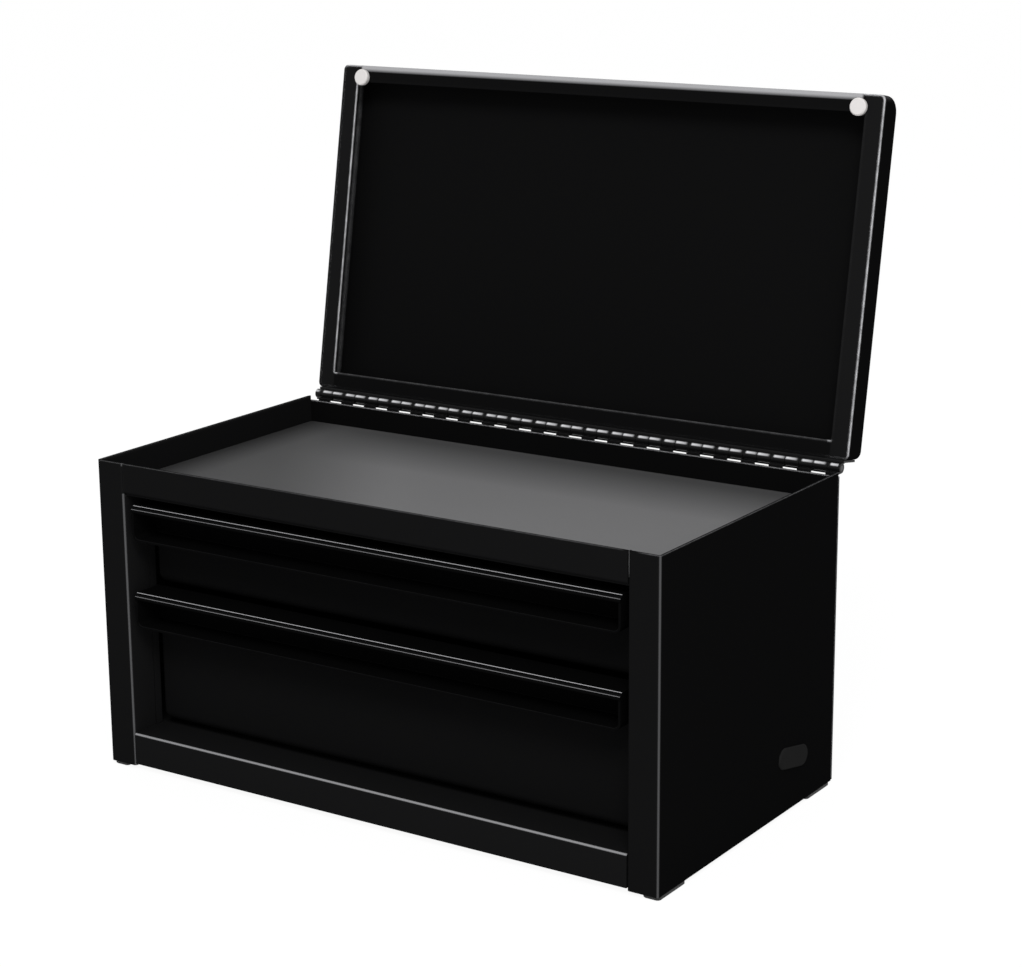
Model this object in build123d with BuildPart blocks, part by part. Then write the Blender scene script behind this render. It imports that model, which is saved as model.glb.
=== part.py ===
"""Small two-drawer machinist tool chest: folded steel cabinet, lift-up lid on a continuous
hinge, open tray under the lid and two drawers with full-width pulls.

Millimetres. +X is to the right seen from the front, +Y to the back, +Z up. The origin is on the
surface that the chest stands on, in the middle of what the open chest covers. The lid is modelled
open and the drawers shut.
"""
import os
from math import cos, radians, sin

from build123d import *

os.makedirs("parts", exist_ok=True)

# ---- cabinet ---------------------------------------------------------------------------------
cabinet_width = 300
cabinet_depth = 160
cabinet_height = 147          # underside of the side panels to the rim
foot_height = 2
sheet = 1.0                   # steel sheet of the cabinet, lid and drawers
bend_radius = 1.4             # outside radius of a folded corner
post_width = 15.2             # front posts, folded from the side panels
return_depth = 19             # the posts' folds towards the back
rear_flange = 11
bottom_flange = 12
return_hem = 0.9              # the returns' rear edges are hemmed inwards by this much
return_hem_length = 4
rear_wall_drop = 2.3          # the back panel ends this much below the rim
seam_gap = 0.15               # paint gap between rails and posts

# ---- bottom pan and tray ---------------------------------------------------------------------
bottom_rail_height = 15.3
top_rail_height = 14.2
tray_flange = 6               # fold of the top rail on the tray floor
tray_skirt = 7                # turned-down edges of the tray floor
mat_thickness = 1.0
mat_gap = 0.4                 # the mat's play inside the tray
mat_corner = 1.5

# ---- continuous hinge ------------------------------------------------------------------------
hinge_inset = 1.5             # hinge ends inside the cabinet's width
knuckle_pitch = 7.18
first_knuckle = 3.5           # the strip is cut to length, so its end knuckles are short
knuckle_radius = 2.3
knuckle_gap = 0.3             # end play between neighbours
leaf_thickness = 1.0
leaf_height = 15
lid_leaf_height = 11.5
leaf_notch = 1.6              # cut-outs in the body's leaf at the lid's knuckles
pin_radius = 1.3
pin_clearance = 0.05
hinge_behind = 4.3            # pin axis behind the back panel
hinge_above = 0.3             # pin axis above the rim
rivet_count = 6
rivet_shank = 1.6             # radius
rivet_head = 2.8              # radius
rivet_head_height = 1.0
rivet_hole_gap = 0.1
rivet_taper = 35

# ---- lid -------------------------------------------------------------------------------------
lid_open_angle = 100
lid_height = 15
lid_front_overhang = 2.9
lid_rear_overhang = 0.95
lid_seat_gap = 2.4            # lid lip above the rim when shut
lid_front_radius = 8
lid_rear_radius = 4
lid_edge_radius = 2.6
side_lip = 9.2
front_lip = 8.2
rear_lip = 8.35
bumper_radius = 4.0
bumper_height = 2.2
bumper_edge = 0.5
bumper_side_inset = 12.2      # bumper centre from the lid's side
bumper_front_inset = 6.0

# ---- drawers ---------------------------------------------------------------------------------
drawer_side_gap = 3.8         # drawer side to post
drawer_recess = 17            # drawer face behind the posts
drawer_depth = 135
drawer_sheet = 0.9
drawer_corner = 4.5           # pressed lower edges
drawer_rim_corner = 2.0       # upright corners
drawer_top_gap = 5.35         # top rail to upper pull
drawer_gap = 1.15             # upper drawer to lower pull
drawer_floor_gap = 2.6        # lower drawer above the bottom pan
upper_drawer_height = 40.65
drawer_side_drop = 6          # side and back walls below the front's top edge
drawer_front_drop = 1.5       # the front's top edge below the pull's
front_shoulder = 9            # length of the step from the front down to the sides
liner_thickness = 1.0
liner_gap = 0.8

# ---- drawer pulls ----------------------------------------------------------------------------
pull_height = 16.8
pull_wall = 1.1
pull_setback = 0.1            # pull nose behind the face of the posts
bead_radius = 0.95
upper_bead_back = 1.5         # upper bead behind the lower one
upper_bead_rise = 1.45
bead_neck = 1.1               # web between the two beads
lip_setback = 0.8             # lower lip behind the face of the posts
pull_end_corner = 3.5

# ---- drawer runners --------------------------------------------------------------------------
runner_height = 7
runner_width = 2.6
runner_sheet = 0.8
runner_front = 7              # runner starts behind the drawer face
channel_wall = 1.0
channel_side_play = 0.5
channel_bottom_play = 0.1
channel_top_play = 1.9
channel_front = 1.0           # channel starts behind the post returns
channel_length = 136
stop_drop = 1.4               # lug at the channel's mouth
stop_width = 1.2
stop_length = 3
stop_rise = 1.5               # matching tab on the runner
drawer_travel = 100
stop_play = 0.3
bracket_length = 12
bracket_inset = 2
upper_runner_rise = 14        # runner above the drawer's underside
lower_runner_rise = 28

# ---- feet and side plug ----------------------------------------------------------------------
foot_length = 22.5
foot_width = 8.5
foot_corner = 2
foot_inset = 0.3
foot_end_inset = 1.5
foot_rear_inset = 2.5
foot_edge = 0.4
plug_length = 27.5
plug_height = 10
plug_tilt = -11.5
plug_head = 0.8
plug_lip = 1.2                # head beyond the hole
plug_gap = 0.15
plug_depth = 2.5
plug_edge = 0.5
plug_from_rear = 41
plug_above_base = 24.1

# ---- places worked out from the sizes above --------------------------------------------------
half_width = cabinet_width / 2
lean = radians(lid_open_angle - 90)
lid_swing = cabinet_depth + lid_front_overhang + hinge_behind - lid_front_radius
lid_rise = lid_height + lid_seat_gap - hinge_above - lid_front_radius
open_lid_reach = (hinge_behind + lid_swing * sin(lean) + lid_rise * cos(lean)
                  + lid_front_radius)          # the open lid behind the back panel
front = -(cabinet_depth + open_lid_reach) / 2
rear = front + cabinet_depth
base = foot_height
rim = base + cabinet_height
opening_half = half_width - post_width
wall_inside = half_width - sheet
side_rear = rear - sheet                       # the back panel lies on the side panels
inner_rear = side_rear - sheet
bottom_pan_top = base + sheet + bottom_rail_height
tray_floor_top = rim - top_rail_height
tray_floor_under = tray_floor_top - sheet
hinge_y = rear + hinge_behind
hinge_z = rim + hinge_above
drawer_half = opening_half - drawer_side_gap
drawer_face = front + drawer_recess
lower_drawer_base = bottom_pan_top + drawer_floor_gap
upper_pull_top = tray_floor_top - drawer_top_gap
upper_drawer_base = upper_pull_top - upper_drawer_height
lower_pull_top = upper_drawer_base - drawer_gap


def bent_sheet(points, metal_side, thickness=sheet, corner=bend_radius):
    """Section of a folded sheet: the points run along its outer face."""
    with BuildLine(Plane.XY) as section:
        FilletPolyline(*points, radius=corner)
        offset(amount=thickness, side=metal_side)
    make_face(section.edges())


def save(builder, name):
    builder.part.label = name
    export_step(builder.part, f"parts/{name}.step")


# ---- side panels: wall, front post, rear flange and bottom flange in one sheet ---------------
def side_panel(name, side):
    with BuildPart() as panel:
        with BuildSketch(Plane.XY.offset(base)):
            bent_sheet([(opening_half, front + return_depth), (opening_half, front),
                        (half_width, front), (half_width, side_rear),
                        (half_width - rear_flange, side_rear)], Side.LEFT)
        extrude(amount=cabinet_height)
        with BuildSketch(Plane.XY.offset(tray_floor_under)) as tray_room:
            with Locations((opening_half - sheet, front + bend_radius)):
                Rectangle(post_width, cabinet_depth, align=(Align.MIN, Align.MIN))
        extrude(amount=rim - tray_floor_under, mode=Mode.SUBTRACT)
        with BuildSketch(Plane.XY.offset(bottom_pan_top + seam_gap)) as hem:
            with Locations((opening_half + sheet / 2, front + return_depth)):
                Rectangle(return_hem + sheet / 2, return_hem_length,
                          align=(Align.MAX, Align.MAX))
        extrude(amount=tray_floor_under - bottom_pan_top - seam_gap)
        with BuildSketch(Plane.XY.offset(base)) as foot_flange:
            with Locations((wall_inside, front + bend_radius)):
                Rectangle(bottom_flange, side_rear - front - 2 * bend_radius,
                          align=(Align.MAX, Align.MIN))
        extrude(amount=sheet)
        with BuildSketch(Plane.YZ.offset(half_width - 2 * sheet)) as plug_hole:
            with Locations((rear - plug_from_rear, base + plug_above_base)):
                SlotOverall(plug_length - 2 * plug_lip, plug_height - 2 * plug_lip,
                            rotation=plug_tilt)
        extrude(amount=3 * sheet, mode=Mode.SUBTRACT)
        if side < 0:
            mirror(about=Plane.YZ, mode=Mode.REPLACE)
    save(panel, name)


side_panel("side_panel_right", 1)
side_panel("side_panel_left", -1)

# ---- back panel with the hinge's rivet holes --------------------------------------------------
hinge_length = cabinet_width - 2 * hinge_inset
hinge_left = -hinge_length / 2
rear_wall_top = rim - rear_wall_drop
leaf_top = hinge_z - knuckle_radius + leaf_thickness
leaf_rivet_z = leaf_top - (leaf_height + leaf_notch) / 2
rivet_pitch = (hinge_length - 4 * knuckle_pitch) / (rivet_count - 1)

with BuildPart() as back_panel:
    with BuildSketch(Plane.XZ.offset(-rear)):
        with Locations((0, base)):
            Rectangle(cabinet_width - 2 * bend_radius, rear_wall_top - base,
                      align=(Align.CENTER, Align.MIN))
        with Locations((0, leaf_rivet_z)):
            with GridLocations(rivet_pitch, 1, rivet_count, 1):
                Circle(rivet_shank + rivet_hole_gap, mode=Mode.SUBTRACT)
    extrude(amount=sheet)
save(back_panel, "back_panel")

# ---- bottom pan: the drawers' floor, folded down all round; its front fold is the rail --------
pan_half = opening_half - seam_gap
pan_rear = side_rear - sheet - seam_gap
pan_wide_front = front + return_depth + seam_gap

with BuildPart() as bottom_pan:
    with BuildSketch(Plane.YZ.offset(-pan_half)):
        bent_sheet([(front, base + sheet), (front, bottom_pan_top), (pan_rear, bottom_pan_top),
                    (pan_rear, base + sheet)], Side.RIGHT)
    extrude(amount=2 * pan_half)
    with BuildSketch(Plane.XZ.offset(-pan_rear + bend_radius)):
        bent_sheet([(wall_inside, base + sheet), (wall_inside, bottom_pan_top),
                    (pan_half - sheet, bottom_pan_top)], Side.LEFT)
    extrude(amount=pan_rear - bend_radius - pan_wide_front)
    with BuildSketch(Plane.XY.offset(base + sheet)) as skirt_between_posts:
        with Locations((pan_half, front + sheet / 2)):
            Rectangle(sheet, pan_wide_front - front + sheet / 2, align=(Align.MAX, Align.MIN))
        with Locations((pan_half - sheet, pan_wide_front)):
            Rectangle(wall_inside - pan_half + sheet, sheet, align=(Align.MIN, Align.MIN))
    extrude(amount=bottom_rail_height - sheet / 2)
    mirror(about=Plane.YZ)
save(bottom_pan, "bottom_pan")

# ---- top rail: the tray's front wall, with a fold on the tray floor ---------------------------
with BuildPart() as top_rail:
    with BuildSketch(Plane.YZ.offset(-pan_half)):
        bent_sheet([(front + tray_flange, tray_floor_top), (front, tray_floor_top),
                    (front, rim)], Side.RIGHT)
    extrude(amount=2 * pan_half)
save(top_rail, "top_rail")

# ---- tray floor: rests on the post returns, turned down at the sides and back -----------------
tray_half = wall_inside - seam_gap
tray_rear = side_rear - seam_gap

with BuildPart() as tray_floor:
    with BuildSketch(Plane.XZ.offset(-inner_rear + seam_gap)):
        bent_sheet([(-tray_half, tray_floor_top - tray_skirt), (-tray_half, tray_floor_top),
                    (tray_half, tray_floor_top), (tray_half, tray_floor_top - tray_skirt)],
                   Side.RIGHT)
    extrude(amount=inner_rear - front - return_depth - 2 * seam_gap)
    with BuildSketch(Plane.YZ.offset(-opening_half)):
        with Locations((tray_rear, tray_floor_top)):
            Rectangle(sheet, tray_skirt, align=(Align.MAX, Align.MAX))
    extrude(amount=2 * opening_half)
    with BuildSketch(Plane.XY.offset(tray_floor_under)) as over_posts_and_flanges:
        with Locations((0, tray_rear)):
            Rectangle(2 * (tray_half - bend_radius), tray_rear - front - bend_radius - seam_gap,
                      align=(Align.CENTER, Align.MAX))
    extrude(amount=sheet)
save(tray_floor, "tray_floor")

with BuildPart() as tray_mat:
    with BuildSketch(Plane.XY.offset(tray_floor_top)):
        with Locations((0, front + tray_flange + mat_gap)):
            RectangleRounded(2 * (wall_inside - mat_gap),
                             side_rear - front - tray_flange - 2 * mat_gap, mat_corner,
                             align=(Align.CENTER, Align.MIN))
    extrude(amount=mat_thickness)
save(tray_mat, "tray_mat")

# ---- continuous hinge -------------------------------------------------------------------------
# Each leaf is a strip with every other knuckle. A knuckle hangs on a strap that runs into its
# barrel, and the body's strip is notched at the lid's knuckles.
full_knuckles = int((hinge_length - first_knuckle) // knuckle_pitch)
knuckle_ends = [hinge_left + first_knuckle + number * knuckle_pitch
                for number in range(full_knuckles + 1)]
knuckle_starts = [hinge_left - knuckle_gap / 2] + knuckle_ends
knuckle_stops = knuckle_ends + [hinge_left + hinge_length + knuckle_gap / 2]
knuckles = [(start + knuckle_gap / 2, stop - start - knuckle_gap)
            for start, stop in zip(knuckle_starts, knuckle_stops)]
lid_knuckles = knuckles[::2]
body_knuckles = knuckles[1::2]
strap_length = hinge_behind - leaf_thickness / 2

with BuildPart() as hinge_body_leaf:
    with BuildSketch(Plane.YZ.offset(hinge_left)):
        with Locations((rear, leaf_top - leaf_notch)):
            Rectangle(leaf_thickness, leaf_height - leaf_notch, align=(Align.MIN, Align.MAX))
    extrude(amount=hinge_length)
    with BuildSketch(Plane.XZ.offset(-rear - 2 * leaf_thickness)):
        with Locations((0, leaf_rivet_z)):
            with GridLocations(rivet_pitch, 1, rivet_count, 1):
                Circle(rivet_shank + rivet_hole_gap)
    extrude(amount=3 * leaf_thickness, mode=Mode.SUBTRACT)
    for start, length in body_knuckles:
        with BuildSketch(Plane.YZ.offset(start)):
            with Locations((hinge_y, hinge_z)):
                Circle(knuckle_radius)
            with Locations((rear + leaf_thickness / 2, leaf_top)):
                Rectangle(strap_length, leaf_thickness, align=(Align.MIN, Align.MAX))
            with Locations((rear, leaf_top)):
                Rectangle(leaf_thickness, 2 * leaf_notch, align=(Align.MIN, Align.MAX))
            with Locations((hinge_y, hinge_z)):
                Circle(pin_radius + pin_clearance, mode=Mode.SUBTRACT)
        extrude(amount=length)
save(hinge_body_leaf, "hinge_body_leaf")

with BuildPart() as hinge_pin:
    with BuildSketch(Plane.YZ.offset(hinge_left)):
        with Locations((hinge_y, hinge_z)):
            Circle(pin_radius)
    extrude(amount=hinge_length)
save(hinge_pin, "hinge_pin")

with BuildPart() as hinge_body_rivets:
    with BuildSketch(Plane.XZ.offset(-side_rear)):
        with Locations((0, leaf_rivet_z)):
            with GridLocations(rivet_pitch, 1, rivet_count, 1):
                Circle(rivet_shank)
    extrude(amount=-(sheet + leaf_thickness + rivet_head_height / 2))
    with BuildSketch(Plane.XZ.offset(-rear - leaf_thickness)):
        with Locations((0, leaf_rivet_z)):
            with GridLocations(rivet_pitch, 1, rivet_count, 1):
                Circle(rivet_head)
    extrude(amount=-rivet_head_height, taper=rivet_taper)
save(hinge_body_rivets, "hinge_body_rivets")

# ---- lid --------------------------------------------------------------------------------------
# The lid is drawn shut, in a frame on the pin's axis, and that frame is turned open.
lid_frame = Plane(origin=(0, hinge_y, hinge_z), x_dir=(1, 0, 0),
                  z_dir=(0, sin(radians(lid_open_angle)), cos(radians(lid_open_angle))))
lid_lip_z = lid_seat_gap - hinge_above
lid_front = front - lid_front_overhang - hinge_y
lid_rear = rear + lid_rear_overhang - hinge_y
lid_top_z = lid_lip_z + lid_height
lid_leaf_bottom = knuckle_radius - leaf_thickness
lid_rivet_z = lid_leaf_bottom + lid_leaf_height / 2


def lid_section(x):
    """Plane across the lid at x: its first axis runs to the back, its second up."""
    return Plane(origin=lid_frame.from_local_coords((x, 0, 0)), x_dir=lid_frame.y_dir,
                 z_dir=lid_frame.x_dir)


def lid_face(y):
    """Plane along the lid's rear skirt at y: its first axis runs right, its second up."""
    return Plane(origin=lid_frame.from_local_coords((0, y, 0)), x_dir=lid_frame.x_dir,
                 z_dir=-lid_frame.y_dir)


def lid_block(inset, lift):
    """The lid's outer form, made smaller by the inset, from the lift above its lip plane."""
    half = half_width - inset
    with BuildPart() as block:
        with BuildSketch(lid_section(-half)) as section:
            with Locations((lid_front + inset, lid_lip_z + lift)):
                Rectangle(lid_rear - lid_front - 2 * inset, lid_height - inset - lift,
                          align=(Align.MIN, Align.MIN))
            upper = section.vertices().group_by(Axis.Y)[-1].sort_by(Axis.X)
            fillet(upper[0], radius=lid_front_radius - inset)
            rear_corner = section.vertices().filter_by_position(
                Axis.X, lid_rear - inset - 0.01, lid_rear - inset + 0.01).sort_by(Axis.Y)[-1]
            fillet(rear_corner, radius=lid_rear_radius - inset)
        extrude(amount=2 * half)
        ends = block.faces().filter_by(Axis.X)
        rim_height = lid_lip_z + lift
        edges = [edge for edge in ends.edges()
                 if lid_frame.to_local_coords(edge.center()).Z > rim_height + inset / 2 + 0.01]
        fillet(edges, radius=lid_edge_radius - inset)
    return block.part


lid_outside = lid_block(0, 0)
lid_inside = lid_block(sheet, sheet)

with BuildPart() as lid_shell:
    add(lid_outside)
    add(lid_inside, mode=Mode.SUBTRACT)
    with BuildSketch(lid_frame.offset(lid_lip_z)):
        with Locations((0, lid_front + front_lip)):
            Rectangle(cabinet_width - 2 * side_lip, lid_rear - lid_front - front_lip - rear_lip,
                      align=(Align.CENTER, Align.MIN))
    extrude(amount=sheet, mode=Mode.SUBTRACT)
    with BuildSketch(lid_face(lid_rear + sheet)):
        with Locations((0, lid_rivet_z)):
            with GridLocations(rivet_pitch, 1, rivet_count, 1):
                Circle(rivet_shank + rivet_hole_gap)
    extrude(amount=3 * sheet, mode=Mode.SUBTRACT)
save(lid_shell, "lid_shell")

with BuildPart() as hinge_lid_leaf:
    with BuildSketch(lid_section(hinge_left)):
        with Locations((lid_rear, lid_leaf_bottom)):
            Rectangle(leaf_thickness, lid_leaf_height, align=(Align.MIN, Align.MIN))
    extrude(amount=hinge_length)
    with BuildSketch(lid_face(lid_rear + 2 * leaf_thickness)):
        with Locations((0, lid_rivet_z)):
            with GridLocations(rivet_pitch, 1, rivet_count, 1):
                Circle(rivet_shank + rivet_hole_gap)
    extrude(amount=3 * leaf_thickness, mode=Mode.SUBTRACT)
    for start, length in lid_knuckles:
        with BuildSketch(lid_section(start)):
            Circle(knuckle_radius)
            with Locations((lid_rear, lid_leaf_bottom)):
                Rectangle(-lid_rear, leaf_thickness, align=(Align.MIN, Align.MIN))
            Circle(pin_radius + pin_clearance, mode=Mode.SUBTRACT)
        extrude(amount=length)
save(hinge_lid_leaf, "hinge_lid_leaf")

with BuildPart() as hinge_lid_rivets:
    with BuildSketch(lid_face(lid_rear - sheet)):
        with Locations((0, lid_rivet_z)):
            with GridLocations(rivet_pitch, 1, rivet_count, 1):
                Circle(rivet_shank)
    extrude(amount=-(sheet + leaf_thickness + rivet_head_height / 2))
    with BuildSketch(lid_face(lid_rear + leaf_thickness)):
        with Locations((0, lid_rivet_z)):
            with GridLocations(rivet_pitch, 1, rivet_count, 1):
                Circle(rivet_head)
    extrude(amount=-rivet_head_height, taper=rivet_taper)
save(hinge_lid_rivets, "hinge_lid_rivets")


def lid_bumper(name, side):
    with BuildPart() as bumper:
        with BuildSketch(lid_frame.offset(lid_lip_z)):
            with Locations((side * (half_width - bumper_side_inset),
                            lid_front + bumper_front_inset)):
                Circle(bumper_radius)
        extrude(amount=-bumper_height)
        lower_face = bumper.faces().sort_by(Axis(lid_frame.origin, lid_frame.z_dir))[0]
        chamfer(lower_face.edges(), length=bumper_edge)
    save(bumper, name)


lid_bumper("lid_bumper_right", 1)
lid_bumper("lid_bumper_left", -1)


# ---- drawers ----------------------------------------------------------------------------------
def drawer_block(inset, lower, upper):
    """A drawer's outer form, made smaller by the inset, with pressed lower edges."""
    with BuildPart() as block:
        with BuildSketch(Plane.XY.offset(lower + inset)):
            with Locations((0, drawer_face + inset)):
                Rectangle(2 * (drawer_half - inset), drawer_depth - 2 * inset,
                          align=(Align.CENTER, Align.MIN))
        extrude(amount=upper - lower - inset)
        uprights = block.edges().filter_by(Axis.Z)
        fillet(uprights, radius=drawer_rim_corner - inset)
        lower_edges = block.faces().sort_by(Axis.Z)[0].edges()
        fillet(lower_edges, radius=drawer_corner - inset)
    return block.part


def drawer(position, lower, upper, runner_rise):
    outside = drawer_block(0, lower, upper)
    inside = drawer_block(drawer_sheet, lower, upper)
    side_top = upper - drawer_side_drop
    with BuildPart() as box:
        add(outside)
        add(inside, mode=Mode.SUBTRACT)
        with BuildSketch(Plane.YZ.offset(-half_width)):
            with BuildLine():
                FilletPolyline((drawer_face + drawer_rim_corner, upper + sheet),
                               (drawer_face + drawer_rim_corner, upper),
                               (drawer_face + front_shoulder, side_top), (rear, side_top),
                               (rear, upper + sheet), radius=0.5, close=True)
            make_face()
        extrude(amount=cabinet_width, mode=Mode.SUBTRACT)
    save(box, f"drawer_box_{position}")

    with BuildPart() as liner:
        with BuildSketch(Plane.XY.offset(lower + drawer_sheet)):
            with Locations((0, drawer_face + drawer_corner + liner_gap)):
                RectangleRounded(2 * (drawer_half - drawer_corner - liner_gap),
                                 drawer_depth - 2 * (drawer_corner + liner_gap),
                                 drawer_rim_corner, align=(Align.CENTER, Align.MIN))
        extrude(amount=liner_thickness)
    save(liner, f"drawer_liner_{position}")

    for side_name, side in (("right", 1), ("left", -1)):
        drawer_runner(f"drawer_runner_{position}_{side_name}", side, lower + runner_rise)
        slide_channel(f"slide_channel_{position}_{side_name}", side, lower + runner_rise)


def drawer_runner(name, side, runner_z):
    """C-shaped rail on a drawer's side, with a taller tab at its back as the pull-out stop."""
    run_start = drawer_face + runner_front
    run_end = drawer_face + drawer_depth - runner_front
    x_in = drawer_half
    x_out = drawer_half + runner_width
    with BuildPart() as runner:
        with BuildSketch(Plane.XZ.offset(-run_start)):
            with Locations((x_in, runner_z)):
                Rectangle(runner_width, runner_height, align=(Align.MIN, Align.MIN))
            with Locations((x_in + runner_sheet, runner_z + runner_sheet)):
                Rectangle(runner_width, runner_height - 2 * runner_sheet,
                          align=(Align.MIN, Align.MIN), mode=Mode.SUBTRACT)
        extrude(amount=-(run_end - run_start))
        with BuildSketch(Plane.XY.offset(runner_z + runner_height)):
            with Locations((x_out, run_end)):
                Rectangle(stop_width, stop_length, align=(Align.MAX, Align.MAX))
        extrude(amount=stop_rise)
        if side < 0:
            mirror(about=Plane.YZ, mode=Mode.REPLACE)
    save(runner, name)


def slide_channel(name, side, runner_z):
    """C-shaped channel that a runner slides in, on two brackets from the cabinet's side."""
    x_in = drawer_half + channel_side_play
    x_web = drawer_half + runner_width + channel_side_play
    z_low = runner_z - channel_bottom_play
    z_high = runner_z + runner_height + channel_top_play
    start = front + return_depth + channel_front
    stop_y = drawer_face + drawer_depth - runner_front - stop_length - drawer_travel - stop_play
    with BuildPart() as channel:
        with BuildSketch(Plane.XZ.offset(-start)):
            with Locations((x_in, z_low - channel_wall)):
                Rectangle(x_web + channel_wall - x_in, z_high - z_low + 2 * channel_wall,
                          align=(Align.MIN, Align.MIN))
            with Locations((x_in, z_low)):
                Rectangle(x_web - x_in, z_high - z_low, align=(Align.MIN, Align.MIN),
                          mode=Mode.SUBTRACT)
        extrude(amount=-channel_length)
        with BuildSketch(Plane.XY.offset(z_high)):
            with Locations((x_web, stop_y)):
                Rectangle(stop_width + channel_side_play, stop_length,
                          align=(Align.MAX, Align.MAX))
        extrude(amount=-stop_drop)
        for bracket_y in (start + bracket_inset,
                          start + channel_length - bracket_inset - bracket_length):
            with BuildSketch(Plane.XZ.offset(-bracket_y)):
                with Locations((x_web, z_low)):
                    Rectangle(wall_inside - x_web, channel_wall, align=(Align.MIN, Align.MIN))
                with Locations((wall_inside, z_low)):
                    Rectangle(channel_wall, z_high - z_low, align=(Align.MAX, Align.MIN))
            extrude(amount=-bracket_length)
        if side < 0:
            mirror(about=Plane.YZ, mode=Mode.REPLACE)
    save(channel, name)


drawer("upper", upper_drawer_base, upper_pull_top - drawer_front_drop, upper_runner_rise)
drawer("lower", lower_drawer_base, lower_pull_top - drawer_front_drop, lower_runner_rise)


# ---- drawer pulls: full-width finger channels with a double-beaded nose -----------------------
def drawer_pull(name, top):
    bottom = top - pull_height
    lip_front = front + lip_setback
    nose_y = front + pull_setback + bead_radius
    nose_z = top - bead_radius - upper_bead_rise
    with BuildPart() as pull:
        with BuildSketch(Plane.XZ.offset(-drawer_face)) as outline:
            with Locations((0, bottom)):
                Rectangle(2 * drawer_half, pull_height, align=(Align.CENTER, Align.MIN))
            fillet(outline.vertices().group_by(Axis.Y)[0], radius=pull_end_corner)
        extrude(amount=drawer_face - lip_front)
        with BuildSketch(Plane.XZ.offset(-drawer_face + pull_wall)) as hollow:
            with Locations((0, bottom + pull_wall)):
                Rectangle(2 * (drawer_half - pull_wall), pull_height - 2 * pull_wall,
                          align=(Align.CENTER, Align.MIN))
            fillet(hollow.vertices().group_by(Axis.Y)[0], radius=pull_end_corner - pull_wall)
        extrude(amount=drawer_recess, mode=Mode.SUBTRACT)
        with BuildSketch(Plane.XY.offset(top)):
            with Locations((0, lip_front - pull_wall)):
                Rectangle(2 * drawer_half, nose_y + upper_bead_back - lip_front + pull_wall,
                          align=(Align.CENTER, Align.MIN))
        extrude(amount=-pull_wall, mode=Mode.SUBTRACT)
        with BuildSketch(Plane.YZ.offset(-drawer_half)):
            with Locations((nose_y, nose_z),
                           (nose_y + upper_bead_back, nose_z + upper_bead_rise)):
                Circle(bead_radius)
            SlotCenterPoint((nose_y + upper_bead_back / 2, nose_z + upper_bead_rise / 2),
                            (nose_y, nose_z), bead_neck)
        extrude(amount=2 * drawer_half)
    save(pull, name)


drawer_pull("drawer_pull_upper", upper_pull_top)
drawer_pull("drawer_pull_lower", lower_pull_top)


# ---- rubber feet and the side panels' plugs ---------------------------------------------------
def foot(name, side, y_start):
    with BuildPart() as pad:
        with BuildSketch(Plane.XY):
            with Locations((side * (half_width - foot_inset - foot_width / 2),
                            y_start + foot_length / 2)):
                RectangleRounded(foot_width, foot_length, foot_corner)
        extrude(amount=foot_height)
        chamfer(pad.faces().sort_by(Axis.Z)[0].edges(), length=foot_edge)
    save(pad, name)


foot("foot_front_right", 1, front + foot_end_inset)
foot("foot_front_left", -1, front + foot_end_inset)
foot("foot_rear_right", 1, rear - foot_rear_inset - foot_length)
foot("foot_rear_left", -1, rear - foot_rear_inset - foot_length)


def side_plug(name, side):
    with BuildPart() as plug:
        with BuildSketch(Plane.YZ.offset(half_width)):
            with Locations((rear - plug_from_rear, base + plug_above_base)):
                SlotOverall(plug_length, plug_height, rotation=plug_tilt)
        extrude(amount=plug_head)
        with BuildSketch(Plane.YZ.offset(half_width)):
            with Locations((rear - plug_from_rear, base + plug_above_base)):
                SlotOverall(plug_length - 2 * (plug_lip + plug_gap),
                            plug_height - 2 * (plug_lip + plug_gap), rotation=plug_tilt)
        extrude(amount=-plug_depth)
        outer_face = plug.faces().sort_by(Axis.X)[-1]
        chamfer(outer_face.edges(), length=plug_edge)
        if side < 0:
            mirror(about=Plane.YZ, mode=Mode.REPLACE)
    save(plug, name)


side_plug("side_plug_right", 1)
side_plug("side_plug_left", -1)
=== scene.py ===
"""Small two-drawer machinist tool chest: black powder-coated sheet steel, lid open, drawers shut.

Metres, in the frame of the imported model: +X right, +Y back, +Z up, on the floor at z = 0.
"""
import math

import bpy
from mathutils import Matrix, Vector


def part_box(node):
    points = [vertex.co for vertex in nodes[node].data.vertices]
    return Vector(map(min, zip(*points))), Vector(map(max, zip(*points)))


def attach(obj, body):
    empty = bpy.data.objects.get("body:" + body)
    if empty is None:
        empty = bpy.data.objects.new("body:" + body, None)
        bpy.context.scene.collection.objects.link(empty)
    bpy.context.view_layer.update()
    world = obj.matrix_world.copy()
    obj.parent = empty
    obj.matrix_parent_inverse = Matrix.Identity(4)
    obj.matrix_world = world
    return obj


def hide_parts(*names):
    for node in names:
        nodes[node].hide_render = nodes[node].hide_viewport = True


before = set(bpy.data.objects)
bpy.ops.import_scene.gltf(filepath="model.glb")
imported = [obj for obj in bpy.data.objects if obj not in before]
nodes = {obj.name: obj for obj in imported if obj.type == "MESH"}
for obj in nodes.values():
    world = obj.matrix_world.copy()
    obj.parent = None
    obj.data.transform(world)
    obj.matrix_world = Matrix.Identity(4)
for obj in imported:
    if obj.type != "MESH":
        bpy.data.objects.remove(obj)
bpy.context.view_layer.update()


# ---- Sheet steel cabinet ---------------------------------------------------------------------
# Folded and spot-welded sheet in a smooth black powder coat, drawn without specular reflection.
# Painted highlights along edges and bends, and painted light and shade on some faces, stand in
# for what the studio lamps leave there.
def add_node(tree, kind, inputs=None, **settings):
    """A new node, its inputs set to plain values or linked to other nodes' outputs."""
    made = tree.nodes.new(kind)
    for name, value in settings.items():
        setattr(made, name, value)
    for name, value in (inputs or {}).items():
        if isinstance(value, bpy.types.NodeSocket):
            tree.links.new(value, made.inputs[name])
        else:
            made.inputs[name].default_value = value
    return made


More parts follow.
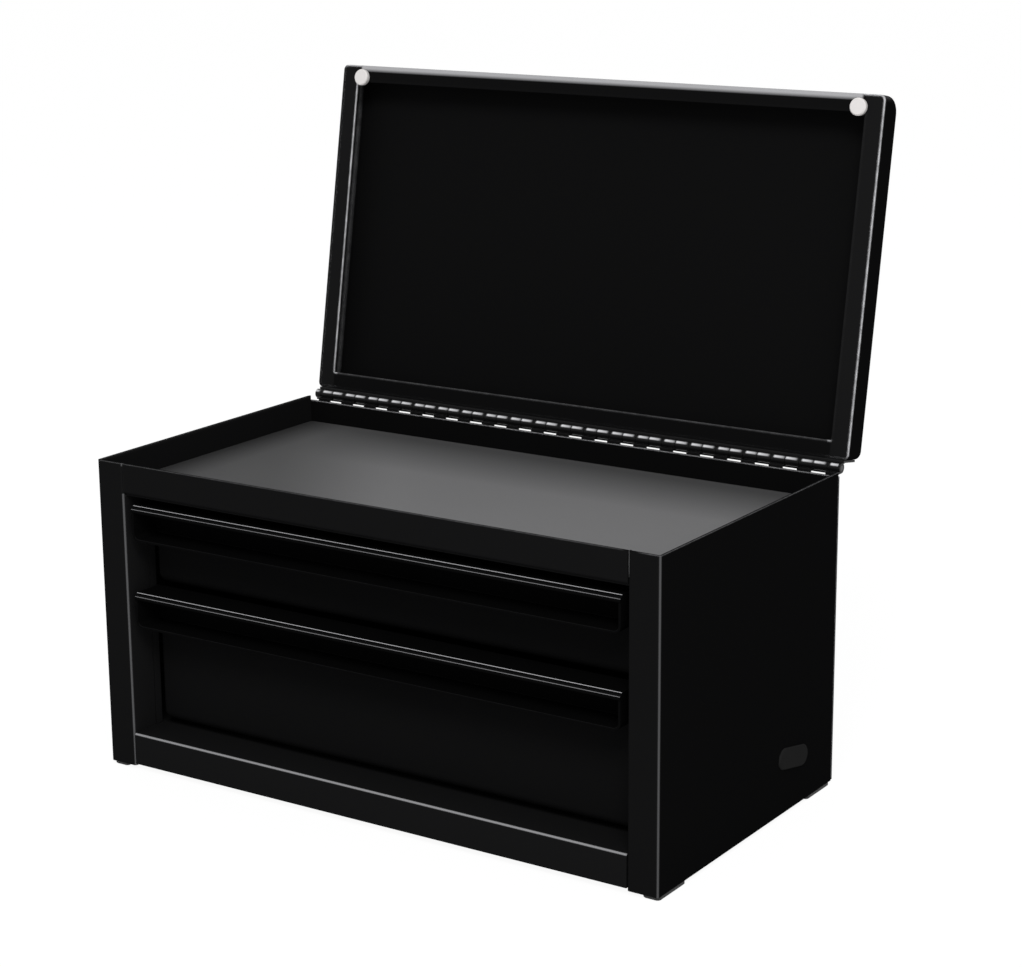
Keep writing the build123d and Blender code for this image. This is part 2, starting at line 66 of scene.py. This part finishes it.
def maths(tree, operation, first, second=0.0, clamp=False):
    return add_node(tree, "ShaderNodeMath", {0: first, 1: second}, operation=operation,
                    use_clamp=clamp).outputs[0]


def dot(tree, first, second):
    return add_node(tree, "ShaderNodeVectorMath", {0: first, 1: second},
                    operation="DOT_PRODUCT").outputs["Value"]


def ramp(tree, value, start, end, low=0.0, high=1.0, **settings):
    """From low where the value is start to high where it is end."""
    return add_node(tree, "ShaderNodeMapRange",
                    {"Value": value, "From Min": start, "From Max": end, "To Min": low,
                     "To Max": high}, **settings).outputs[0]


def mix(tree, factor, under, over, blend="MIX"):
    return add_node(tree, "ShaderNodeMix", {"Factor": factor, "A": under, "B": over},
                    data_type="RGBA", blend_type=blend).outputs["Result"]


def part_of(tree, vector, axis):
    return add_node(tree, "ShaderNodeSeparateXYZ", {0: vector}).outputs[axis]


def span(tree, place, axis, start, end, low=0.0, high=1.0):
    """From low at start to high at end along one of the piece's own directions, in metres."""
    return ramp(tree, part_of(tree, place, axis), start, end, low, high)


def new_group(name, inputs, outputs):
    tree = bpy.data.node_groups.new(name, "ShaderNodeTree")
    for socket, kind, value in inputs:
        made = tree.interface.new_socket(socket, in_out="INPUT", socket_type=kind)
        made.default_value = value
    for socket, kind in outputs:
        tree.interface.new_socket(socket, in_out="OUTPUT", socket_type=kind)
    return tree, tree.nodes.new("NodeGroupInput"), tree.nodes.new("NodeGroupOutput")


def orange_peel_group():
    """Shallow ripples of a powder coat, with finer grains between them."""
    tree, given, out = new_group("orange peel", [("Ripples per metre", "NodeSocketFloat", 420.0)],
                                 [("Height", "NodeSocketFloat")])
    place = add_node(tree, "ShaderNodeTexCoord").outputs["Object"]
    ripples = add_node(tree, "ShaderNodeTexNoise", {"Vector": place, "Scale": given.outputs[0],
                                                    "Detail": 2.0, "Roughness": 0.45})
    finer = maths(tree, "MULTIPLY", given.outputs[0], 4.5)
    grains = add_node(tree, "ShaderNodeTexNoise", {"Vector": place, "Scale": finer,
                                                   "Detail": 1.0, "Roughness": 0.5})
    height = add_node(tree, "ShaderNodeMath", {0: grains.outputs["Fac"], 1: 0.25,
                                               2: ripples.outputs["Fac"]},
                      operation="MULTIPLY_ADD")
    tree.links.new(height.outputs[0], out.inputs["Height"])
    return tree


def painted_highlights_group():
    """Masks of sharp edges and of folded bends that face a set light direction, for painted
    highlights.
    """
    number, vector = "NodeSocketFloat", "NodeSocketVector"
    tree, given, out = new_group("painted highlight lines",
                                 [("Edge width", number, 0.001), ("Gain", number, 4.0),
                                  ("Breaks", number, 0.5), ("Towards", vector, (0.5, -0.55, 0.67)),
                                  ("Turn", number, 0.0), ("Lit from", number, 0.55),
                                  ("Lit to", number, 0.75)],
                                 [("Edges", number), ("Bends", number)])
    given, link = given.outputs, tree.links.new
    place = add_node(tree, "ShaderNodeTexCoord")
    normal = add_node(tree, "ShaderNodeNewGeometry").outputs["Normal"]
    rounded = add_node(tree, "ShaderNodeBevel", {"Radius": given["Edge width"]},
                       samples=6).outputs["Normal"]
    turn = maths(tree, "SUBTRACT", 1.0, dot(tree, rounded, normal), clamp=True)
    edge = maths(tree, "MULTIPLY", turn, given["Gain"], clamp=True)
    noise = add_node(tree, "ShaderNodeTexNoise", {"Vector": place.outputs["Object"],
                                                  "Scale": 260.0, "Detail": 3.0})
    broken = maths(tree, "MULTIPLY", ramp(tree, noise.outputs["Fac"], 0.35, 0.65),
                   given["Breaks"])
    kept = maths(tree, "MULTIPLY", edge, maths(tree, "SUBTRACT", 1.0, broken), clamp=True)
    lit = ramp(tree, dot(tree, rounded, given["Towards"]), 0.5, 0.8)
    link(maths(tree, "MULTIPLY", kept, lit, clamp=True), out.inputs["Edges"])
    # A bend's normal lies between two of the sheet's own directions.
    own = add_node(tree, "ShaderNodeVectorRotate", {"Vector": place.outputs["Normal"],
                                                    "Angle": given["Turn"]},
                   rotation_type="X_AXIS").outputs[0]
    square = add_node(tree, "ShaderNodeVectorMath", {0: own, 1: own}, operation="MULTIPLY")
    parts = add_node(tree, "ShaderNodeSeparateXYZ", {0: square.outputs[0]}).outputs
    pairs = [maths(tree, "MULTIPLY", parts[first], parts[second])
             for first, second in (("X", "Y"), ("Y", "Z"), ("X", "Z"))]
    total = maths(tree, "ADD", maths(tree, "ADD", pairs[0], pairs[1]), pairs[2])
    lit = ramp(tree, dot(tree, normal, given["Towards"]), given["Lit from"], given["Lit to"])
    link(maths(tree, "MULTIPLY", ramp(tree, total, 0.08, 0.22), lit, clamp=True),
         out.inputs["Bends"])
    return tree


orange_peel = orange_peel_group()
painted_highlights = painted_highlights_group()


def new_material(name):
    made = bpy.data.materials.new(name)
    made.use_nodes = True
    return made, made.node_tree, made.node_tree.nodes["Principled BSDF"]


def finish(tree, shader, colour, gloss, height, strength, distance):
    """Join a material's colour, roughness and bump to its shader."""
    bump = add_node(tree, "ShaderNodeBump", {"Strength": strength, "Distance": distance,
                                             "Height": height})
    tree.links.new(colour, shader.inputs["Base Color"])
    tree.links.new(gloss, shader.inputs["Roughness"])
    tree.links.new(bump.outputs["Normal"], shader.inputs["Normal"])


def powder_coat(name, colour, edge_highlight_colour, bend_highlight_colour, right_face_painted_tone=None, roughness=0.4,
                edge_width=0.0009, edge_gain=5.0, specular=0.0, towards=(0.5, -0.55, 0.67),
                turned=0.0, lit=(0.55, 0.75), edge_limit=None, bend_limit=None):
    """Black powder coat: dark body, painted highlights on edges and bends, painted light and shade
    on right-facing faces, faint ripples, uneven gloss.
    """
    made, tree, shader = new_material(name)
    shader.inputs["Specular IOR Level"].default_value = specular
    place = add_node(tree, "ShaderNodeTexCoord")
    lines = add_node(tree, "ShaderNodeGroup",
                     {"Edge width": edge_width, "Gain": edge_gain, "Breaks": 0.4,
                      "Towards": towards, "Turn": turned, "Lit from": lit[0], "Lit to": lit[1]},
                     node_tree=painted_highlights)
    bends, edges = lines.outputs["Bends"], lines.outputs["Edges"]
    if bend_limit:
        bends = maths(tree, "MULTIPLY", bends, bend_limit(tree, place.outputs["Object"]), True)
    if edge_limit:
        edges = maths(tree, "MULTIPLY", edges, edge_limit(tree, place.outputs["Object"]), True)
    # Right-facing faces take another tone: painted shade where the right panel and the lid face
    # right, painted light on the left panel's inner faces.
    to_right = ramp(tree, part_of(tree, place.outputs["Normal"], "X"), 0.6, 0.9)
    body = mix(tree, to_right, colour, right_face_painted_tone or colour)
    # Painted highlights on bends and edges are mixed over the body colour.
    paint = mix(tree, edges, mix(tree, bends, body, bend_highlight_colour), edge_highlight_colour)
    clouds = add_node(tree, "ShaderNodeTexNoise", {"Vector": place.outputs["Object"],
                                                   "Scale": 14.0, "Detail": 4.0})
    gloss = ramp(tree, clouds.outputs["Fac"], 0.0, 1.0, roughness - 0.05, roughness + 0.07)
    peel = add_node(tree, "ShaderNodeGroup", node_tree=orange_peel)
    finish(tree, shader, paint, gloss, peel.outputs["Height"], 0.35, 0.00002)
    return made


def grey(value):
    return (value, value, value * 1.03, 1)


def layer(made, colour, mask, blend="MIX"):
    """Lay one more tone over a material's base colour where the mask is light."""
    tree = made.node_tree
    base = tree.nodes["Principled BSDF"].inputs["Base Color"]
    place = add_node(tree, "ShaderNodeTexCoord").outputs["Object"]
    tone = mix(tree, mask(tree, place), base.links[0].from_socket, colour, blend)
    tree.links.new(tone, base)


def dress(material, *names):
    for name in names:
        mesh = nodes[name].data
        mesh.materials.clear()
        mesh.materials.append(material)


rim = 0.149             # top edge of the tray's walls
tray_floor_top = 0.1348
rails_crest = (0.0, -0.6, 0.8)


def right_edges(tree, place):
    """Painted edge highlights only on the post's outer edge and the rim, not the seam with the top
    rail.
    """
    return span(tree, place, "X", 0.139, 0.142)


def left_edges(tree, place):
    """Painted edge highlights only on the rim and the seam beside the top rail."""
    return span(tree, place, "Z", tray_floor_top - 0.0028, tray_floor_top - 0.0008)


def rail_edges(tree, place):
    """Painted edge highlights on all but the top rail's right end."""
    return span(tree, place, "X", 0.131, 0.133, 1.0, 0.0)


def tray_side_shade(tree, place):
    """The tray's inner side below its rim, where right-facing faces get a darker painted shade."""
    return maths(tree, "MULTIPLY",
                 span(tree, place, "Z", tray_floor_top - 0.0003, tray_floor_top),
                 span(tree, place, "Z", rim - 0.0015, rim - 0.001, 1.0, 0.0))


# Each coat below: body colour, painted edge highlight colour, painted bend highlight colour.
right_coat = powder_coat("right panel coat", grey(0.0068), grey(0.15), grey(0.085),
                         right_face_painted_tone=grey(0.0042), edge_limit=right_edges)
left_coat = powder_coat("left panel coat", grey(0.0072), grey(0.1), grey(0.11),
                        right_face_painted_tone=grey(0.0125), edge_limit=left_edges)
# Painted shade: the left panel's lighter right-facing faces are darkened on the tray's inner side.
layer(left_coat, grey(0.009), tray_side_shade, "DARKEN")
rail_coat = powder_coat("rail coat", grey(0.0072), grey(0.1), grey(0.01), towards=rails_crest,
                        edge_limit=rail_edges)
floor_coat = powder_coat("bottom pan coat", grey(0.0088), grey(0.012), grey(0.3),
                         towards=rails_crest)
rear_coat = powder_coat("rear panel coat", grey(0.0045), grey(0.5), grey(0.1), edge_gain=8.0)
dress(right_coat, "side_panel_right", "tray_floor")
dress(left_coat, "side_panel_left")
dress(rail_coat, "top_rail")
dress(floor_coat, "bottom_pan")


def sheet_box(name, low, high, bevel):
    """A plain sheet with slightly rounded edges, its mesh in the frame's own metres."""
    bpy.ops.object.select_all(action="DESELECT")
    bpy.ops.mesh.primitive_cube_add(size=1.0)
    made = bpy.context.active_object
    made.name = name
    for corner in made.data.vertices:
        corner.co = [low[axis] if corner.co[axis] < 0 else high[axis] for axis in range(3)]
    rounding = made.modifiers.new("edges", "BEVEL")
    rounding.width = bevel
    rounding.segments = 2
    bpy.ops.object.modifier_apply(modifier=rounding.name)
    return made


# The back sheet takes the place of the CAD's back panel. It reaches round to the side panels'
# folds, which closes the slits in the tray's rear corners, and it has no rivet holes.
back_half_width = 0.1496
panel_low, panel_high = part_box("back_panel")
rear_wall = sheet_box("back_sheet", (-back_half_width, panel_low[1] - 0.00005, panel_low[2]),
                      (back_half_width, panel_high[1], panel_high[2]), 0.0002)
rear_wall.data.materials.append(rear_coat)
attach(rear_wall, "cabinet")
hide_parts("back_panel")


# ---- Tray mat --------------------------------------------------------------------------------
# Thin closed-cell foam rubber laid loose on the tray floor: mid grey, with a fine pebbled skin
# that has a slight sheen.
def shade(colour, share):
    return (*[part * share for part in colour], 1)


def foam_rubber(name, colour, roughness, specular=0.4, cell=1100.0, mottle=0.14):
    """Matt rubber with a pebbled skin, a little uneven in tone."""
    made, tree, shader = new_material(name)
    shader.inputs["Specular IOR Level"].default_value = specular
    place = add_node(tree, "ShaderNodeTexCoord").outputs["Object"]
    cells = add_node(tree, "ShaderNodeTexVoronoi", {"Vector": place, "Scale": cell},
                     feature="SMOOTH_F1")
    tones = add_node(tree, "ShaderNodeTexNoise", {"Vector": place, "Scale": 9.0, "Detail": 5.0,
                                                  "Roughness": 0.55}).outputs["Fac"]
    tone = mix(tree, tones, shade(colour, 1 - mottle), shade(colour, 1 + mottle))
    gloss = ramp(tree, tones, 0.0, 1.0, roughness - 0.05, roughness + 0.05)
    finish(tree, shader, tone, gloss, cells.outputs["Distance"], 0.5, 0.00012)
    return made


def mat_shadow(tree, place):
    """The room's soft light on the mat, laid into its colour: darker to the back and left."""
    back = span(tree, place, "Y", -0.005, 0.047, 1.0, 0.36)
    across = ramp(tree, dot(tree, place, (1.0, 0.67, 0.0)), -0.13, -0.05,
                  interpolation_type="SMOOTHSTEP")
    middle = add_node(tree, "ShaderNodeMix", {"Factor": across, "A": 0.42, "B": back},
                      data_type="FLOAT").outputs["Result"]
    light = maths(tree, "MULTIPLY", middle, span(tree, place, "X", -0.147, -0.126, 0.45, 1.0))
    return maths(tree, "SUBTRACT", 1.0, light)


mat_rubber = foam_rubber("grey mat rubber", (0.182, 0.182, 0.185), 0.6, specular=0.04,
                         mottle=0.05)
layer(mat_rubber, (0.002, 0.002, 0.002, 1), mat_shadow)
dress(mat_rubber, "tray_mat")


# ---- Continuous hinge ------------------------------------------------------------------------
# Two rolled steel leaves with interleaved knuckles round a drawn wire pin, riveted on and
# coated with the chest.
first_joint = -0.145
knuckle_pair = 0.01436


def knuckle_highlight(tree, place):
    """Painted highlight along the knuckles, gone at their ends and in the joint between two pairs.
    """
    spot = maths(tree, "MULTIPLY", maths(tree, "ADD", part_of(tree, place, "X"), -first_joint),
                 1 / knuckle_pair)
    highlight_ramp = add_node(tree, "ShaderNodeValToRGB", {"Fac": maths(tree, "FRACT", spot)})
    levels = ((0.07, 0.0), (0.13, 1.0), (0.40, 0.6), (0.49, 0.12), (0.56, 1.0), (0.86, 0.6),
              (0.95, 0.0))
    stops = highlight_ramp.color_ramp.elements
    while len(stops) < len(levels):
        stops.new(0.5)
    for stop, (position, level) in zip(stops, levels):
        stop.position = position
        stop.color = (level, level, level, 1)
    return highlight_ramp.outputs["Color"]


# The barrel's right end keeps no painted highlight: the plain coat colour is laid over it.
def right_end(tree, place):
    return span(tree, place, "X", 0.1472, 0.1476)


# The knuckles take a painted highlight in the bright bend colour.
hinge_coat = powder_coat("hinge coat", grey(0.006), grey(0.03), grey(0.8), roughness=0.3,
                         edge_width=0.0004, specular=0.1, towards=(0.1, -0.55, 0.83),
                         lit=(0.86, 0.97), bend_limit=knuckle_highlight)
layer(hinge_coat, grey(0.006), right_end)
dress(hinge_coat, "hinge_body_leaf", "hinge_lid_leaf", "hinge_body_rivets", "hinge_lid_rivets")


def bare_metal(name, colour, roughness, streak=(3.0, 900.0, 900.0)):
    """Plain or plated steel with fine drawing lines along its length."""
    made, tree, shader = new_material(name)
    shader.inputs["Metallic"].default_value = 1.0
    place = add_node(tree, "ShaderNodeTexCoord").outputs["Object"]
    stretch = add_node(tree, "ShaderNodeMapping", {"Vector": place, "Scale": streak})
    lines = add_node(tree, "ShaderNodeTexNoise", {"Vector": stretch.outputs["Vector"],
                                                  "Scale": 1.0, "Detail": 3.0}).outputs["Fac"]
    tone = mix(tree, lines, shade(colour, 0.8), shade(colour, 1.0))
    gloss = ramp(tree, lines, 0.0, 1.0, roughness - 0.06, roughness + 0.1)
    finish(tree, shader, tone, gloss, lines, 0.2, 0.00001)
    return made


pin_steel = bare_metal("drawn pin wire", (0.06, 0.06, 0.062), 0.32)
dress(pin_steel, "hinge_pin")

# Two thin strips that the CAD doesn't have narrow the slits above and below the barrel. Their
# places are measured from the pin's middle, the lid's with the lid shut.
lid_opening = math.radians(100)
pin_low, pin_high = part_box("hinge_pin")
pin_y = (pin_low[1] + pin_high[1]) / 2
pin_z = (pin_low[2] + pin_high[2]) / 2
lid_root = sheet_box("lid_leaf_root", (-0.1484, -0.0033, 0.0015), (0.1484, -0.0019, 0.0027), 0.0002)
lid_root.data.transform(Matrix.Translation((0, pin_y, pin_z))
                        @ Matrix.Rotation(-lid_opening, 4, "X"))
body_root = sheet_box("body_leaf_root", (-0.148, pin_y - 0.0017, pin_z - 0.0027),
                      (0.1475, pin_y - 0.0013, pin_z - 0.00196), 0.00005)
for root, body, coat in ((lid_root, "lid", hinge_coat), (body_root, "cabinet", right_coat)):
    root.data.materials.append(coat)
    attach(root, body)

# ---- Lid -------------------------------------------------------------------------------------
# One pressed sheet with a large front bend and inward lips on four sides, coated like the
# cabinet. Its inside is plain.
lid_lean = lid_opening - math.pi / 2
lid_up = Vector((0, math.sin(lid_lean), math.cos(lid_lean)))
lid_out = Vector((0, -math.cos(lid_lean), math.sin(lid_lean)))
lid_points = [corner.co for corner in nodes["lid_shell"].data.vertices]
lid_top = max(point.dot(lid_up) for point in lid_points)
lid_front = max(point.dot(lid_out) for point in lid_points)


def along(tree, place, way, start, end):
    """From 0 at start to 1 at end, in metres along a slanting direction."""
    return ramp(tree, dot(tree, place, way), start, end)


def outside(tree, place, near, far, low=0.0, high=1.0):
    """From low to high where the distance from the middle grows from near to far."""
    return ramp(tree, maths(tree, "ABSOLUTE", part_of(tree, place, "X")), near, far, low, high)


def lid_edge_highlight(tree, place):
    """The side lips' edges take the painted highlight, and the front and rear lips' edges hardly.
    """
    return outside(tree, place, 0.1385, 0.1395, 0.12, 1.0)


# The side lips' faces, where painted light lifts the coat above the lid's darker body colour.
def side_lips_painted_light(tree, place):
    return maths(tree, "MULTIPLY", outside(tree, place, 0.1405, 0.1409),
                 along(tree, place, lid_out, lid_front - 0.0012, lid_front - 0.001))


def front_fold_highlight(tree, place):
    """A painted highlight along the front lip's fold, between the two bumpers."""
    fold = maths(tree, "MULTIPLY",
                 along(tree, place, lid_up, lid_top - 0.0031, lid_top - 0.0014),
                 along(tree, place, lid_out, lid_front - 0.0016, lid_front - 0.001))
    return maths(tree, "MULTIPLY", outside(tree, place, 0.1385, 0.1395, 1.0, 0.0), fold)


# The body colour is darker than the cabinet's, painted shade for the lid's hollow inside. The side
# lips get painted light, the front fold a painted highlight.
lid_paint = powder_coat("lid powder coat", grey(0.0056), grey(0.8), grey(0.02),
                        right_face_painted_tone=grey(0.0042), edge_width=0.0017, edge_gain=10.0,
                        turned=lid_opening, edge_limit=lid_edge_highlight)
layer(lid_paint, grey(0.0098), side_lips_painted_light, "LIGHTEN")
layer(lid_paint, grey(0.42), front_fold_highlight)
dress(lid_paint, "lid_shell")


# White plastic discs on the front lip's corners, which keep the lid off the rim.
def moulded_plastic(name, colour, roughness, specular=0.5):
    """Moulded plastic with a fine grain and handled patches."""
    made, tree, shader = new_material(name)
    shader.inputs["Specular IOR Level"].default_value = specular
    place = add_node(tree, "ShaderNodeTexCoord").outputs["Object"]
    grain = add_node(tree, "ShaderNodeTexNoise", {"Vector": place, "Scale": 2200.0,
                                                  "Detail": 2.0})
    handled = add_node(tree, "ShaderNodeTexNoise", {"Vector": place, "Scale": 120.0,
                                                    "Detail": 3.0}).outputs["Fac"]
    tone = mix(tree, handled, shade(colour, 0.9), shade(colour, 1.0))
    gloss = ramp(tree, handled, 0.0, 1.0, roughness - 0.05, roughness + 0.08)
    finish(tree, shader, tone, gloss, grain.outputs["Fac"], 0.3, 0.00002)
    return made


bumper_plastic = moulded_plastic("white bumper plastic", (0.8, 0.77, 0.76), 0.45)
dress(bumper_plastic, "lid_bumper_left", "lid_bumper_right")


# ---- Drawers ---------------------------------------------------------------------------------
# Pressed tubs with rounded lower edges in the same coat, on zinc-plated slides, with thin foam
# liners inside. The slides' front ends are darkened with a painted shade.
# Painted shade on the slides' front ends, which sit in the dark gap beside the drawers.
def slide_front_shade(tree, place):
    return span(tree, place, "Y", -0.08, -0.078, 1.0, 0.0)


drawer_paint = powder_coat("drawer powder coat", grey(0.006), grey(0.008), grey(0.006))
dress(drawer_paint, "drawer_box_upper", "drawer_box_lower")

liner_rubber = foam_rubber("black liner rubber", (0.012, 0.012, 0.013), 0.7, cell=700.0)
dress(liner_rubber, "drawer_liner_upper", "drawer_liner_lower")

zinc = bare_metal("zinc plate", (0.5, 0.51, 0.53), 0.38, streak=(700.0, 5.0, 700.0))
layer(zinc, grey(0.01), slide_front_shade)
slides = [name for name in nodes if name.startswith(("slide_channel", "drawer_runner"))]
dress(zinc, *slides)


# ---- Drawer pulls ----------------------------------------------------------------------------
# Full-width channels for the fingers, with a double-beaded nose that carries a painted highlight
# along its crest.
def bead_highlight(tree, place):
    """The painted highlight is stronger on the upper bead, which stands further back, than on the
    lower one.
    """
    return span(tree, place, "Y", -0.10285, -0.10235, 0.4, 1.0)


# The pull's body colour is darker than the cabinet's, painted shade for its deep finger channel.
pull_paint = powder_coat("pull powder coat", grey(0.003), grey(0.012), grey(0.62),
                         roughness=0.3, edge_width=0.0006, towards=(0.0, -0.5, 0.866),
                         lit=(0.970, 0.990), bend_limit=bead_highlight)
dress(pull_paint, "drawer_pull_upper", "drawer_pull_lower")

# ---- Feet and side plugs ---------------------------------------------------------------------
# Black rubber pads under the corners, and oblong push-in plugs in the side panels.
foot_rubber = foam_rubber("foot rubber", (0.02, 0.02, 0.02), 0.65, cell=900.0)
feet = [name for name in nodes if name.startswith("foot_")]
dress(foot_rubber, *feet)

plug_plastic = moulded_plastic("black plug plastic", (0.017, 0.017, 0.017), 0.5, specular=0.0)
dress(plug_plastic, "side_plug_left", "side_plug_right")


# ---- Floor and backdrop ----------------------------------------------------------------------
# Plain pale floor and surroundings that show as white. The floor keeps a soft shadow.
def seen_rays(tree):
    """1 for rays from the camera, through clear pieces and off glossy ones, and 0 for light."""
    rays = add_node(tree, "ShaderNodeLightPath").outputs
    clear = maths(tree, "MAXIMUM", rays["Is Camera Ray"], rays["Is Transmission Ray"])
    return maths(tree, "MAXIMUM", clear, rays["Is Glossy Ray"])


bpy.ops.object.select_all(action="DESELECT")
bpy.ops.mesh.primitive_plane_add(size=12.0, location=(0, 0, 0))
floor = bpy.context.active_object
floor.name = "floor"
floor_finish, tree, shader = new_material("pale floor")
shader.inputs["Base Color"].default_value = (0.86, 0.86, 0.86, 1)
shader.inputs["Roughness"].default_value = 0.8
shader.inputs["Specular IOR Level"].default_value = 0.1
glow = add_node(tree, "ShaderNodeEmission", {"Color": (1, 1, 1, 1), "Strength": 1.06})
blend = add_node(tree, "ShaderNodeMixShader", {0: maths(tree, "MULTIPLY", seen_rays(tree), 0.88),
                                               1: shader.outputs[0], 2: glow.outputs[0]})
tree.links.new(blend.outputs[0], tree.nodes["Material Output"].inputs["Surface"])
floor.data.materials.append(floor_finish)

world = bpy.data.worlds.new("studio")
bpy.context.scene.world = world
world.use_nodes = True
tree = world.node_tree
back = tree.nodes["Background"]
back.inputs["Color"].default_value = (1, 1, 1, 1)
tree.links.new(ramp(tree, seen_rays(tree), 0.0, 1.0, 0.6, 1.02), back.inputs["Strength"])

# ---- Studio light ----------------------------------------------------------------------------
# One large soft lamp above, in front and a little to the right.
lamp_place = Vector((0.75, -1.3, 1.6))
lamp_aim = Vector((0, 0, 0.1))
lamp_data = bpy.data.lights.new("key", "AREA")
lamp_data.shape = "RECTANGLE"
lamp_data.size, lamp_data.size_y = 0.9, 0.7
lamp_data.energy = 20.0
lamp = bpy.data.objects.new("key", lamp_data)
bpy.context.scene.collection.objects.link(lamp)
lamp.location = lamp_place
lamp.rotation_euler = (lamp_aim - lamp_place).to_track_quat("-Z", "Y").to_euler()

# ---- Camera ----------------------------------------------------------------------------------
# The photograph's view: a long lens, a third round to the right and a little above.
camera_place = (0.63593, -0.94418, 0.43176)
camera_turn = math.radians(33.564)
camera_dip = math.radians(14.611)
camera_roll = math.radians(-0.429)
camera_data = bpy.data.cameras.new("camera")
camera_data.sensor_fit = "HORIZONTAL"
camera_data.sensor_width = 36.0
camera_data.lens = 89.38
camera_data.clip_end = 50.0
camera = bpy.data.objects.new("camera", camera_data)
bpy.context.scene.collection.objects.link(camera)
camera.matrix_world = (Matrix.Translation(camera_place)
                       @ Matrix.Rotation(camera_turn, 4, "Z")
                       @ Matrix.Rotation(math.pi / 2 - camera_dip, 4, "X")
                       @ Matrix.Rotation(camera_roll, 4, "Z"))
bpy.context.scene.camera = camera
bpy.context.scene.view_settings.view_transform = "Standard"
